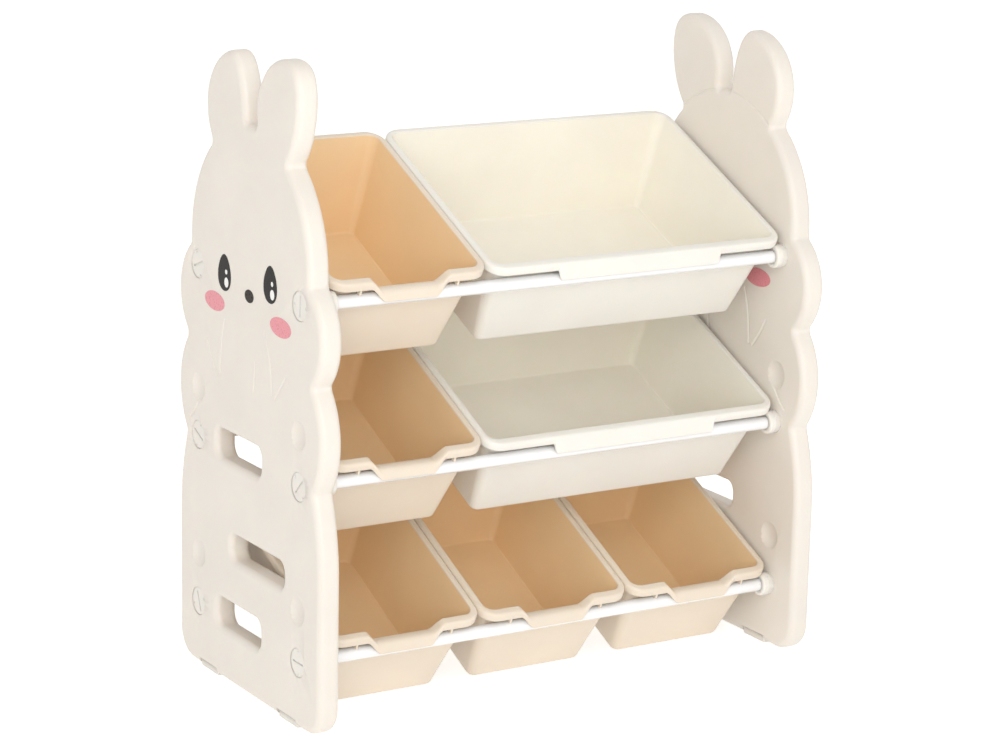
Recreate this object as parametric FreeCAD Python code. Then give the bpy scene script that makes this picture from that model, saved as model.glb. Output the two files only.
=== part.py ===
import FreeCAD, Part
import math
import os

Vector = FreeCAD.Vector

# Rack: two side panels joined by a front and a rear rail on each level
inner_width = 640.0
panel_thickness = 28.5
panel_wall = 3.0
level_names = ("bottom", "middle", "top")
lowest_rail_height = 82.0
level_spacing = 211.0
rail_diameter = 16.0
rail_wall = 1.2
clearance = 0.3

# Side panel outline, a standing rabbit, with half depths from the panel's centre line
# and each rise taken from the place below
panel_base_height = 2.0
base_half_depth = 185.0
base_corner_radius = 35.0
base_straight_top = 190.0
lower_waist_height = 291.0
lower_waist_inset = 18.5
belly_rise = 71.0
belly_swell = 0.5
upper_waist_rise = 52.0
upper_waist_inset = 23.0
cheek_rise = 60.0
cheek_swell = 0.0
neck_drop = 9.0
head_rise = 63.0
head_inset = 31.0
cusp_radius = 6.0
panel_edge_radius = 9.0

# Ears, each with its centre off the panel's centre line and above the head's top, leaning outwards
rear_ear = {
    "offset": 38.5,
    "rise": 11.0,
    "inner": 30.5,
    "outer": 72.0,
    "upper": 69.5,
    "lower": 72.0,
    "lean": 5.4,
}
front_ear = {
    "offset": 85.0,
    "rise": 18.0,
    "inner": 66.5,
    "outer": 36.5,
    "upper": 68.0,
    "lower": 65.5,
    "lean": 17.4,
}
ear_point_count = 16

# Hand slots through each panel
slot_offset = 24.5
side_slot_length = 116.0
side_slot_height = 36.0
upper_slot_level = 296.0
lower_slot_level = 85.0
wide_slot_length = 138.0
wide_slot_height = 32.0
wide_slot_level = 175.0
slot_corner_radius = 13.0
slot_edge_radius = 8.0

# Round dishes pressed into both faces of a panel
dish_diameter = 37.0
dish_depth = 6.0
dish_edge_distance = 55.0
dish_levels = (144.0, 353.0)

# Soft paw and fur lines pressed into both faces, each an arc through three (depth, rise) points
# that are seen from the upper waist
line_width = 5.0
line_depth = 1.2
paw_lines = (
    ((58.0, 35.0), (67.0, 2.0), (70.0, -32.0)),
    ((104.0, 2.0), (92.0, -17.0), (78.0, -34.0)),
    ((-46.0, 41.0), (-59.0, 10.0), (-64.0, -28.0)),
    ((-98.0, -1.0), (-86.0, -15.0), (-72.0, -31.0)),
    ((-21.0, 0.0), (-20.0, -17.0), (-17.0, -34.0)),
    ((128.0, -78.0), (137.0, -89.0), (150.0, -101.0)),
)
ear_line_width = 4.0
ear_line_depth = 0.9
ear_line_spread = 36.0

# Rails, set in from the panels' front and rear edges
rail_edge_distance = 54.0

# Rail connectors, one at each rail end, drawn tight by a slotted screw cap
cup_diameter = 29.0
cup_length = 15.0
cup_floor = 2.0
cup_edge_radius = 2.5
ridge_height = 0.7
ridge_width = 1.2
shank_diameter = 22.0
cap_diameter = 35.0
cap_thickness = 5.0
cap_sink = 1.0
cap_edge_radius = 1.2
stem_diameter = 12.0
stem_length = 16.0
cap_slot_length = 25.0
cap_slot_width = 2.6
cap_slot_depth = 1.8
cap_dot_diameter = 2.6
cap_dot_radius = 14.2
cap_turn_step = 68.0

# Foot pads let into the bottom edge of each panel
foot_edge_distance = 81.0
foot_length = 46.0
foot_inset = 2.0
foot_pocket = 9.0
foot_edge_radius = 2.5

# Bins hang on the front rail by a lip and rest on the rear rail
columns = 3
panel_gap = 5.5
bin_gap = 1.0
bin_tilt = 24.4
bin_wall = 2.5
rim_front = -4.5
rim_overreach = 38.0
rim_rise = 26.5
rim_height = 10.8
rim_reach = 6.0
rim_front_reach = 9.0
rim_corner_radius = 24.0
rim_edge_radius = 3.5
rim_inner_radius = 1.2
side_draft = 8.6
front_draft = 8.6
rear_draft = 13.5
bin_corner_radius = 15.0
bin_foot_radius = 10.0
bin_floor_radius = 4.5

# Lip over the front rail
lip_wall = 3.0
dip_depth = 16.8
skirt_gap = 1.5
shoulder_height = 6.6
shoulder_bulge = 2.6
small_crest_forward = 3.0
small_crest_rise = 5.2
small_skirt_drop = 2.5
small_skirt_half_length = 33.0
small_lip_half_length = 36.0
ramp_length = 17.5
large_skirt_drop = -1.0
large_skirt_half_length = 109.0
large_lip_half_length = 118.0
large_lip_bulge = 0.8
rib_thickness = 2.5
rib_bury = 0.6
small_rib_offset = 20.0
stop_rib_offset = 64.0
large_rib_offsets = (40.0, 95.0)

# Face stickers on both faces of each panel, placed by (depth, drop) from the head's centre
sticker_thickness = 0.3
eye_width = 33.0
eye_height = 44.0
rear_eye = (58.5, 30.0)
front_eye = (-59.5, 22.0)
nose_length = 22.5
nose_height = 15.5
nose_place = (-6.0, 46.0)
cheek_length = 52.0
cheek_sticker_height = 23.0
rear_cheek = (84.5, 69.0)
front_cheek = (-85.5, 67.0)

# Values that follow from the sizes above
rail_radius = rail_diameter / 2
inner_face = inner_width / 2
panel_centre = inner_face + panel_thickness / 2
belly_height = lower_waist_height + belly_rise
upper_waist_height = belly_height + upper_waist_rise
cheek_height = upper_waist_height + cheek_rise
head_height = cheek_height + head_rise
lower_waist_half_depth = base_half_depth - lower_waist_inset
belly_half_depth = base_half_depth + belly_swell
upper_waist_half_depth = base_half_depth - upper_waist_inset
cheek_half_depth = base_half_depth + cheek_swell
head_radius = base_half_depth - head_inset
head_top = head_height + head_radius
neck_height = head_height - neck_drop
dish_offset = base_half_depth - dish_edge_distance
foot_offset = base_half_depth - foot_edge_distance
rail_offset = base_half_depth - rail_edge_distance
rail_run = 2 * rail_offset
rim_length = rail_run + rim_overreach
rail_heights = [lowest_rail_height + level_spacing * index for index in range(len(level_names))]
recess_depth = cap_thickness + cap_sink
small_bin_width = (inner_width - 2 * panel_gap - (columns - 1) * bin_gap) / columns
column_pitch = small_bin_width + bin_gap
large_bin_width = small_bin_width + column_pitch
tilt = math.radians(bin_tilt)
floor_level = rail_radius + clearance - rail_run * math.sin(tilt)
skirt_front = rail_radius + skirt_gap + lip_wall
skirt_back = rail_radius + skirt_gap
slot_wall = panel_wall + slot_edge_radius / 4
tolerance = 1e-4


def in_panel(depth, height):
    """A point of the panel's middle plane."""
    return Vector(0, depth, height)


def arc_edge(start, middle, end):
    """An arc through three points."""
    return Part.Arc(start, middle, end).toShape()


def line_edge(start, end):
    """A straight edge."""
    return Part.LineSegment(start, end).toShape()


def bulged_edge(start, end, bulge):
    """An arc that stands off its chord by the bulge, to the left of the way it runs."""
    chord = end - start
    across = Vector(0, -chord.z, chord.y)
    across.normalize()
    middle = (start + end) * 0.5 + across * bulge
    return arc_edge(start, middle, end)


def slab(wire, thickness):
    """A prism of the wire's outline, centred on the panel's middle plane."""
    face = Part.Face(wire)
    face.translate(Vector(-thickness / 2, 0, 0))
    return face.extrude(Vector(thickness, 0, 0))


def rounded_edges(solid, radius, chosen):
    """The solid with the chosen edges rounded."""
    return solid.makeFillet(radius, [edge for edge in solid.Edges if chosen(edge)])


def lies_at_x(edge, place):
    """Whether an edge lies in the plane across X at the place."""
    box = edge.BoundBox
    return abs(box.XMin - place) < tolerance and abs(box.XMax - place) < tolerance


def rounded_rectangle(centre, size, radius, to_space):
    """A rounded rectangle about a centre, both given on a plane that to_space carries into space."""
    half_first = size[0] / 2 - radius
    half_second = size[1] / 2 - radius
    corners = ((1, -1, -90.0), (1, 1, 0.0), (-1, 1, 90.0), (-1, -1, 180.0))
    arcs = []
    for first_side, second_side, start_angle in corners:
        points = []
        for turn in (0.0, 45.0, 90.0):
            angle = math.radians(start_angle + turn)
            first = centre[0] + first_side * half_first + radius * math.cos(angle)
            second = centre[1] + second_side * half_second + radius * math.sin(angle)
            points.append(to_space(first, second))
        arcs.append(points)
    edges = []
    for points, following in zip(arcs, arcs[1:] + arcs[:1]):
        edges.append(arc_edge(*points))
        edges.append(line_edge(points[2], following[0]))
    return Part.Wire(edges)


def half_outline(side, inset):
    """The rabbit's edge from the bottom centre up to the neck, on one side."""
    bottom = panel_base_height + inset
    base = base_half_depth - inset
    waist = lower_waist_half_depth - inset
    corner = base_corner_radius
    fall = base - waist
    rise = lower_waist_height - base_straight_top
    ease_radius = (rise * rise + fall * fall) / (2 * fall)
    half_turn = math.asin(rise / ease_radius) / 2
    corner_share = corner * (1 - math.sqrt(0.5))

    def point(depth, height):
        return in_panel(side * depth, height)

    bottom_end = point(base - corner, bottom)
    corner_end = point(base, bottom + corner)
    straight_end = point(base, base_straight_top)
    lower_waist = point(waist, lower_waist_height)
    upper_waist = point(upper_waist_half_depth - inset, upper_waist_height)
    neck = point(math.sqrt((head_radius - inset) ** 2 - neck_drop**2), neck_height)
    ease_middle = point(
        base - ease_radius * (1 - math.cos(half_turn)), base_straight_top + ease_radius * math.sin(half_turn)
    )
    return [
        line_edge(point(0, bottom), bottom_end),
        arc_edge(bottom_end, point(base - corner_share, bottom + corner_share), corner_end),
        line_edge(corner_end, straight_end),
        arc_edge(straight_end, ease_middle, lower_waist),
        arc_edge(lower_waist, point(belly_half_depth - inset, belly_height), upper_waist),
        arc_edge(upper_waist, point(cheek_half_depth - inset, cheek_height), neck),
    ]


def ear_wire(ear, side, inset):
    """One ear, a leaning oval that is fuller on one side."""
    lean = math.radians(ear["lean"])
    centre = in_panel(side * ear["offset"], head_top + ear["rise"])
    along = Vector(0, side * math.sin(lean), math.cos(lean))
    across = Vector(0, side * math.cos(lean), -math.sin(lean))
    points = []
    for index in range(ear_point_count):
        angle = 2 * math.pi * index / ear_point_count
        length = ear["upper"] if math.cos(angle) > 0 else ear["lower"]
        breadth = ear["outer"] if math.sin(angle) > 0 else ear["inner"]
        rise = along * (math.cos(angle) * (length - inset))
        points.append(centre + rise + across * (math.sin(angle) * (breadth - inset)))
    curve = Part.BSplineCurve()
    curve.interpolate(Points=points, PeriodicFlag=True)
    return Part.Wire(curve.toShape())


def is_cusp(solid, edge, thickness):
    """Whether an edge across the panel lies in an inward corner of the outline."""
    box = edge.BoundBox
    if abs(box.XLength - thickness) > tolerance or box.DiagonalLength > thickness + tolerance:
        return False
    probe_radius = cusp_radius / 4
    probe_count = 40
    inward_share = 0.56
    inside = 0
    middle = edge.CenterOfMass
    for index in range(probe_count):
        angle = 2 * math.pi * index / probe_count
        probe = middle + Vector(0, probe_radius * math.cos(angle), probe_radius * math.sin(angle))
        if solid.isInside(probe, tolerance, False):
            inside += 1
    return inside > inward_share * probe_count


def panel_blank(inset):
    """The rabbit slab with rounded edges, or with an inset its hollow."""
    thickness = panel_thickness - 2 * inset
    right = half_outline(1, inset)
    left = half_outline(-1, inset)
    neck = line_edge(right[-1].Vertexes[-1].Point, left[-1].Vertexes[-1].Point)
    body = slab(Part.Wire(Part.__sortEdges__(right + left + [neck])), thickness)
    head_circle = Part.Circle(in_panel(0, head_height), Vector(1, 0, 0), head_radius - inset)
    head = slab(Part.Wire(head_circle.toShape()), thickness)
    ears = [slab(ear_wire(ear, side, inset), thickness) for ear, side in ((rear_ear, 1), (front_ear, -1))]
    joined = body.multiFuse([head] + ears).removeSplitter()
    joined = rounded_edges(joined, cusp_radius, lambda edge: is_cusp(joined, edge, thickness))
    face_places = (-thickness / 2, thickness / 2)
    return rounded_edges(
        joined, panel_edge_radius - inset, lambda edge: any(lies_at_x(edge, place) for place in face_places)
    )


def across_cylinder(radius, depth, height, start, end):
    """A cylinder along X between two places."""
    return Part.makeCylinder(radius, end - start, Vector(start, depth, height), Vector(1, 0, 0))


def slot_wires(growth):
    """The outlines of the three hand slots, grown by a wall where asked."""
    places = (
        (slot_offset, upper_slot_level, side_slot_length, side_slot_height),
        (-slot_offset, wide_slot_level, wide_slot_length, wide_slot_height),
        (slot_offset, lower_slot_level, side_slot_length, side_slot_height),
    )
    wires = []
    for depth, level, length, tall in places:
        size = (length + 2 * growth, tall + 2 * growth)
        wires.append(rounded_rectangle((depth, level), size, slot_corner_radius + growth, in_panel))
    return wires


def dishes(growth):
    """The balls that press the round dishes into both faces."""
    ball_radius = (dish_diameter * dish_diameter / 4 + dish_depth * dish_depth) / (2 * dish_depth)
    stand_off = panel_thickness / 2 - dish_depth + ball_radius
    balls = []
    for face_side in (-1, 1):
        for side in (-1, 1):
            for level in dish_levels:
                centre = Vector(face_side * stand_off, side * dish_offset, level)
                balls.append(Part.makeSphere(ball_radius + growth, centre))
    return balls


def pressed_line(points, face_side, width, depth):
    """The tube that presses a soft line into one face, along an arc through three (depth, height) points."""
    tube_radius = (width * width / 4 + depth * depth) / (2 * depth)
    shift = Vector(face_side * (panel_thickness / 2 - depth + tube_radius), 0, 0)
    start, middle, end = [in_panel(*place) + shift for place in points]
    path = Part.Wire(arc_edge(start, middle, end))
    edge = path.Edges[0]
    heading = edge.tangentAt(edge.FirstParameter)
    ring = Part.Wire(Part.Circle(start, heading, tube_radius).toShape())
    ends = [Part.makeSphere(tube_radius, point) for point in (start, end)]
    return [path.makePipeShell([ring], True, False)] + ends


def pressed_lines():
    """The paw and fur lines of both faces, and the line below the ears on the inner face."""
    tubes = []
    for face_side in (-1, 1):
        for line in paw_lines:
            points = [(depth, upper_waist_height + rise) for depth, rise in line]
            tubes += pressed_line(points, face_side, line_width, line_depth)
    ear_line = []
    for angle in (-ear_line_spread, 0.0, ear_line_spread):
        turn = math.radians(angle)
        ear_line.append((head_radius * math.sin(turn), head_height + head_radius * math.cos(turn)))
    return tubes + pressed_line(ear_line, 1, ear_line_width, ear_line_depth)


def foot_pockets(growth):
    """The pockets that take the foot pads."""
    length = foot_length + 2 * clearance + 2 * growth
    top = panel_base_height + foot_pocket + growth
    pockets = []
    for side in (-1, 1):
        corner = Vector(-panel_thickness, side * foot_offset - length / 2, 0)
        pockets.append(Part.makeBox(2 * panel_thickness, length, top, corner))
    return pockets


def joint_places():
    """The depth and height of each rail axis."""
    return [(side * rail_offset, height) for height in rail_heights for side in (-1, 1)]


def side_panel():
    """The hollow side panel about its own middle plane, with its outer face towards -X."""
    outer_face = -panel_thickness / 2
    far_face = panel_thickness / 2
    recess_radius = cap_diameter / 2 + clearance
    hole_radius = shank_diameter / 2 + clearance
    blank = panel_blank(0.0)

    slots = slot_wires(0.0)
    blank = blank.cut(Part.makeCompound([slab(wire, 2 * panel_thickness) for wire in slots]))
    slot_boxes = [wire.BoundBox for wire in slots]
    for box in slot_boxes:
        box.enlarge(1.0)

    def is_slot_edge(edge):
        on_face = lies_at_x(edge, outer_face) or lies_at_x(edge, far_face)
        middle = edge.CenterOfMass
        return on_face and any(box.isInside(Vector(0, middle.y, middle.z)) for box in slot_boxes)

    blank = rounded_edges(blank, slot_edge_radius, is_slot_edge)

    cutters = dishes(0.0) + pressed_lines() + foot_pockets(0.0)
    solid_parts = [slab(wire, 2 * panel_thickness) for wire in slot_wires(slot_wall)]
    solid_parts += dishes(panel_wall) + foot_pockets(panel_wall)
    recess_floor = outer_face + recess_depth
    for depth, height in joint_places():
        cutters.append(across_cylinder(recess_radius, depth, height, outer_face - 1.0, recess_floor))
        cutters.append(across_cylinder(hole_radius, depth, height, outer_face, far_face + 1.0))
        solid_parts.append(
            across_cylinder(recess_radius + panel_wall, depth, height, outer_face, recess_floor + panel_wall)
        )
        solid_parts.append(across_cylinder(hole_radius + panel_wall, depth, height, outer_face, far_face))
    hollow = panel_blank(panel_wall).cut(solid_parts)
    return blank.cut(cutters).cut(hollow)


def rail(side, height):
    """A steel tube between the floors of its two connector cups."""
    half_length = inner_face - cup_floor - clearance
    outside = across_cylinder(rail_radius, side * rail_offset, height, -half_length, half_length)
    bore = across_cylinder(rail_radius - rail_wall, side * rail_offset, height, -half_length, half_length)
    return outside.cut(bore)


def connector():
    """A rail cup on the panel's inner face at X zero, with its shank through the panel towards -X."""
    shank_end = recess_depth + clearance - panel_thickness
    bore_end = shank_end + stem_length + clearance
    cup = across_cylinder(cup_diameter / 2, 0, 0, 0, cup_length)
    cup = rounded_edges(cup, cup_edge_radius, lambda edge: lies_at_x(edge, cup_length))
    ridge_start = (cup_length - ridge_width) / 2
    ridge = across_cylinder(cup_diameter / 2 + ridge_height, 0, 0, ridge_start, ridge_start + ridge_width)
    shank = across_cylinder(shank_diameter / 2, 0, 0, shank_end, 0)
    socket = across_cylinder(rail_radius + clearance, 0, 0, cup_floor, cup_length + 1.0)
    bore = across_cylinder(stem_diameter / 2 + clearance, 0, 0, shank_end - 1.0, bore_end)
    return cup.fuse([ridge, shank]).cut([socket, bore]).removeSplitter()


def screw_cap(turn):
    """A slotted cap in its recess, with its stem in the connector and the panel's inner face at X zero."""
    seat = recess_depth - panel_thickness
    top = seat - cap_thickness
    disc = across_cylinder(cap_diameter / 2, 0, 0, top, seat)
    disc = rounded_edges(disc, cap_edge_radius, lambda edge: lies_at_x(edge, top))
    stem = across_cylinder(stem_diameter / 2, 0, 0, seat, seat + stem_length)
    corner = Vector(top, -cap_slot_length / 2, -cap_slot_width / 2)
    cuts = [Part.makeBox(cap_slot_depth, cap_slot_length, cap_slot_width, corner)]
    dot_radius = cap_dot_diameter / 2
    for side in (-1, 1):
        cuts.append(across_cylinder(dot_radius, 0, side * cap_dot_radius, top, top + cap_slot_depth))
    cap = disc.fuse(stem).cut(cuts).removeSplitter()
    cap.rotate(Vector(0, 0, 0), Vector(1, 0, 0), turn)
    return cap


def foot_pad(side):
    """A pad in the panel's bottom edge, about the panel's middle plane."""
    width = panel_thickness - 2 * foot_inset
    corner = Vector(-width / 2, side * foot_offset - foot_length / 2, 0)
    pad = Part.makeBox(width, foot_length, panel_base_height + foot_pocket, corner)

    def is_low_or_upright(edge):
        return edge.BoundBox.ZMin < tolerance

    return rounded_edges(pad, foot_edge_radius, is_low_or_upright)


def sticker(place, length, tall, face_side):
    """A thin oval sticker on one face of a panel, about the panel's middle plane."""
    depth = place[0]
    height = head_height - place[1]
    centre = in_panel(depth, height)
    half_length = in_panel(depth + length / 2, height)
    half_height = in_panel(depth, height + tall / 2)
    if length > tall:
        oval = Part.Ellipse(half_length, half_height, centre)
    else:
        oval = Part.Ellipse(half_height, half_length, centre)
    skin = slab(Part.Wire(oval.toShape()), sticker_thickness)
    skin.translate(Vector(face_side * (panel_thickness + sticker_thickness) / 2, 0, 0))
    return skin


def on_both_faces(places, length, tall):
    """The same stickers on both faces of a panel."""
    return [sticker(place, length, tall, face_side) for face_side in (-1, 1) for place in places]


def wall_places(level, width, inset):
    """A bin's half width and its front and rear walls at a level, along the bin's own axes."""
    drop = rim_rise - level
    half_width = width / 2 - rim_reach - drop * math.tan(math.radians(side_draft)) - inset
    front = rim_front + rim_front_reach + drop * math.tan(math.radians(front_draft)) + inset
    rear = rim_front + rim_length - rim_reach - drop * math.tan(math.radians(rear_draft)) - inset
    return half_width, front, rear


def level_ring(half_width, front, rear, radius, level):
    """A rounded rectangle across a bin at one level, along the bin's own axes."""
    centre = (0, (front + rear) / 2)
    size = (2 * half_width, rear - front)
    return rounded_rectangle(centre, size, radius, lambda across, along: Vector(across, along, level))


def tapered_box(width, low, high, inset):
    """A bin's drafted block between two levels, with rounded corners that tighten towards the floor."""
    radius_step = (bin_corner_radius - bin_foot_radius) / (rim_rise - floor_level)
    rings = []
    for level in (low, high):
        radius = bin_foot_radius + radius_step * (level - floor_level) - inset
        rings.append(level_ring(*wall_places(level, width, inset), radius, level))
    block = Part.makeLoft(rings, True, True)
    return rounded_edges(block, bin_floor_radius - inset, lambda edge: edge.BoundBox.ZMax < low + tolerance)


def rim_block(width, low, high, inset):
    """The rim's rounded block between two levels, along the bin's own axes."""
    front = rim_front + inset
    rear = rim_front + rim_length - inset
    ring = level_ring(width / 2 - inset, front, rear, rim_corner_radius - inset, low)
    return Part.Face(ring).extrude(Vector(0, 0, high - low))


def to_rack(along, level):
    """A point of a bin's own upright plane, seen from the front rail's axis."""
    return in_panel(
        along * math.cos(tilt) - level * math.sin(tilt), along * math.sin(tilt) + level * math.cos(tilt)
    )


def across_block(edges, half_length):
    """A prism along X of a closed outline."""
    return slab(Part.Wire(edges), 2 * half_length)


def closed_lines(points):
    """Straight edges round a ring of points."""
    return [line_edge(start, end) for start, end in zip(points, points[1:] + points[:1])]


def cut_ends(block, low_half, low_height, high_half, high_height):
    """A lip with both ends sloped between two heights."""
    slope = (high_half - low_half) / (high_height - low_height)
    reach = rim_length
    top = high_height + reach
    top_half = high_half + slope * reach
    outline = [
        Vector(-low_half, 0, low_height),
        Vector(low_half, 0, low_height),
        Vector(top_half, 0, top),
        Vector(-top_half, 0, top),
    ]
    wedge = Part.Face(Part.makePolygon(outline + outline[:1])).extrude(Vector(0, 2 * reach, 0))
    wedge.translate(Vector(0, -reach, 0))
    return block.common(wedge)


def seat_rib(points, place):
    """A rib under the lip that sits on the front rail, open along the way the bin lifts off."""
    radius = rail_radius + clearance
    rib = across_block(closed_lines(points), rib_thickness / 2)
    seat = across_cylinder(radius, 0, 0, -rib_thickness, rib_thickness)
    low_corner = Vector(-rib_thickness, -radius, -rim_length)
    way_off = Part.makeBox(2 * rib_thickness, 2 * radius, rim_length, low_corner)
    way_off.rotate(Vector(0, 0, 0), Vector(1, 0, 0), bin_tilt)
    rib = rib.cut([seat, way_off])
    rib.translate(Vector(place, 0, 0))
    return rib


def in_front_wall(level, inset):
    """A point at a depth in the front wall, seen from the front rail's axis."""
    return to_rack(wall_places(level, small_bin_width, inset)[1], level)


def rim_section():
    """The corners of the front rim's section: inner low, inner high, outer high, outer low."""
    inner_low = in_front_wall(rim_rise - dip_depth, bin_wall)
    inner_high = in_front_wall(rim_rise, bin_wall)
    return inner_low, inner_high, to_rack(rim_front, rim_rise), to_rack(rim_front, rim_rise - rim_height)


def rib_back():
    """The lower and upper end of a rib's root in the front wall."""
    return in_front_wall(rail_radius, bin_wall / 2), in_front_wall(rim_rise - bin_wall / 2, bin_wall / 2)


def bin_shell(width):
    """A bin's walls, floor and turned-down rim, tilted as it hangs about the front rail's axis."""
    outside = tapered_box(width, floor_level, rim_rise, 0.0)
    inside = tapered_box(width, floor_level + bin_wall, rim_rise + rim_height, bin_wall)
    rim = rim_block(width, rim_rise - rim_height, rim_rise, 0.0)
    rim = rounded_edges(rim, rim_edge_radius, lambda edge: edge.BoundBox.ZMin > rim_rise - tolerance)
    under = rim_block(width, rim_rise - 2 * rim_height, rim_rise - bin_wall, bin_wall)
    shell = outside.fuse(rim.cut(under)).cut(inside).removeSplitter()

    def is_mouth(edge):
        box = edge.BoundBox
        half_width = wall_places(rim_rise, width, bin_wall)[0]
        level = box.ZMin > rim_rise - tolerance
        return level and box.XMin > -half_width - tolerance and box.XMax < half_width + tolerance

    shell = rounded_edges(shell, rim_inner_radius, is_mouth)
    shell.rotate(Vector(0, 0, 0), Vector(1, 0, 0), bin_tilt)
    return shell


def small_bin():
    """A bin one column wide, whose front rim dips into the lip between two ramps."""
    crest = in_panel(-small_crest_forward, rail_radius + small_crest_rise)
    shoulder = in_panel(-skirt_front, shoulder_height)
    inner_low, inner_high, outer_high, outer_low = rim_section()
    back_low = in_front_wall(rim_rise - dip_depth - lip_wall, bin_wall / 2)
    skirt_low = in_panel(-skirt_front, -small_skirt_drop)
    skirt_inner = in_panel(-skirt_back, -small_skirt_drop)
    inner_shoulder = in_panel(-skirt_back, shoulder_height - lip_wall / 2)
    under_crest = in_panel(crest.y + lip_wall / 2, crest.z - lip_wall)
    dip_half_length = small_lip_half_length + ramp_length

    shell = bin_shell(small_bin_width)
    top = inner_high.z + rim_height
    ahead = outer_high.y - rim_height
    behind = inner_low.y + rim_height
    dip = [
        in_panel(ahead, top),
        in_panel(ahead, outer_low.z),
        outer_low,
        inner_low,
        in_panel(behind, inner_low.z),
        in_panel(behind, top),
    ]
    shell = shell.cut(across_block(closed_lines(dip), dip_half_length))

    lip_edges = [
        line_edge(inner_low, crest),
        bulged_edge(crest, shoulder, -shoulder_bulge),
        line_edge(shoulder, skirt_low),
        line_edge(skirt_low, skirt_inner),
        line_edge(skirt_inner, inner_shoulder),
        bulged_edge(inner_shoulder, under_crest, shoulder_bulge),
        line_edge(under_crest, back_low),
        line_edge(back_low, inner_low),
    ]
    lip = across_block(lip_edges, small_lip_half_length)
    lip = cut_ends(lip, small_skirt_half_length, -small_skirt_drop, small_lip_half_length, shoulder_height)

    pieces = [lip]
    ramp_under = in_panel((shoulder.y + under_crest.y) / 2, rail_radius + clearance * 2)
    near_ring = [inner_low, crest, shoulder, ramp_under, back_low]
    far_ring = [inner_low, inner_high, outer_high, outer_low, back_low]
    for side in (-1, 1):
        rings = []
        for ring, place in ((near_ring, small_lip_half_length), (far_ring, dip_half_length)):
            points = [point + Vector(side * place, 0, 0) for point in ring]
            rings.append(Part.makePolygon(points + points[:1]))
        pieces.append(Part.makeLoft(rings, True, True))

    rib_low, rib_high = rib_back()
    seat_points = [
        back_low,
        in_panel(crest.y, crest.z - rib_bury),
        in_panel(shoulder.y + rib_bury, shoulder.z),
        in_panel(skirt_low.y + rib_bury, skirt_low.z + rib_bury),
    ]
    band = rim_front + bin_wall / 2
    stop_points = [rib_low, rib_high, to_rack(band, rim_rise - bin_wall / 2), to_rack(band, rail_radius / 2)]
    for side in (-1, 1):
        pieces.append(seat_rib(seat_points, side * small_rib_offset))
        pieces.append(seat_rib(stop_points, side * stop_rib_offset))
    return shell.fuse(pieces).removeSplitter()


def large_bin():
    """A bin two columns wide, whose straight front rim runs down into the lip."""
    outer = to_rack(rim_front + bin_wall / 2, rim_rise - bin_wall / 2)
    inner = in_panel(outer.y + lip_wall, outer.z - lip_wall)
    shoulder = in_panel(-skirt_front, shoulder_height)
    skirt_low = in_panel(-skirt_front, -large_skirt_drop)
    skirt_inner = in_panel(-skirt_back, -large_skirt_drop)
    inner_shoulder = in_panel(-skirt_back, shoulder_height - lip_wall / 2)
    lip_edges = [
        bulged_edge(outer, shoulder, -large_lip_bulge),
        line_edge(shoulder, skirt_low),
        line_edge(skirt_low, skirt_inner),
        line_edge(skirt_inner, inner_shoulder),
        bulged_edge(inner_shoulder, inner, large_lip_bulge),
        line_edge(inner, outer),
    ]
    lip = across_block(lip_edges, large_lip_half_length)
    lip = cut_ends(lip, large_skirt_half_length, -large_skirt_drop, large_lip_half_length, outer.z)
    pieces = [lip]
    rib_low, rib_high = rib_back()
    rib_points = [
        rib_low,
        rib_high,
        in_panel(outer.y + rib_bury, outer.z),
        in_panel(shoulder.y + rib_bury, shoulder.z),
        in_panel(skirt_low.y + rib_bury, skirt_low.z + rib_bury),
    ]
    for offset in large_rib_offsets:
        for side in (-1, 1):
            pieces.append(seat_rib(rib_points, side * offset))
    return bin_shell(large_bin_width).fuse(pieces).removeSplitter()


def placed(shape, x, depth, height):
    """A copy of a shape moved into place."""
    copy = shape.copy()
    copy.translate(Vector(x, depth, height))
    return copy


def turned_round(shape):
    """A copy of a shape turned half a turn about the rack's upright axis."""
    copy = shape.copy()
    copy.rotate(Vector(0, 0, 0), Vector(0, 0, 1), 180)
    return copy


def save(name, shapes):
    """Write one node, a single solid or a group of separate solids."""
    shape = shapes[0] if len(shapes) == 1 else Part.makeCompound(shapes)
    shape.exportStep(os.path.join("parts", name + ".step"))
    print(name, "solids", len(shape.Solids), "volume", round(shape.Volume), "valid", shape.isValid())


def save_both_sides(name, shapes):
    """Write the left side's shapes, and the right side's as the same shapes turned round."""
    save("left_" + name, shapes)
    save("right_" + name, [turned_round(shape) for shape in shapes])


os.makedirs("parts", exist_ok=True)

save_both_sides("panel", [placed(side_panel(), -panel_centre, 0, 0)])
for name, height in zip(level_names, rail_heights):
    save("front_" + name + "_rail", [rail(-1, height)])
    save("rear_" + name + "_rail", [rail(1, height)])

connector_shape = connector()
save_both_sides("rail_connectors", [placed(connector_shape, -inner_face, y, z) for y, z in joint_places()])
caps = [
    placed(screw_cap(cap_turn_step * index), -inner_face, depth, height)
    for index, (depth, height) in enumerate(joint_places())
]
save_both_sides("screw_caps", caps)
save_both_sides("foot_pads", [placed(foot_pad(side), -panel_centre, 0, 0) for side in (-1, 1)])

sticker_sets = (
    ("eye_stickers", (rear_eye, front_eye), eye_width, eye_height),
    ("nose_stickers", (nose_place,), nose_length, nose_height),
    ("cheek_stickers", (rear_cheek, front_cheek), cheek_length, cheek_sticker_height),
)
for name, places, length, tall in sticker_sets:
    skins = on_both_faces(places, length, tall)
    save_both_sides(name, [placed(skin, -panel_centre, 0, 0) for skin in skins])

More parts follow.
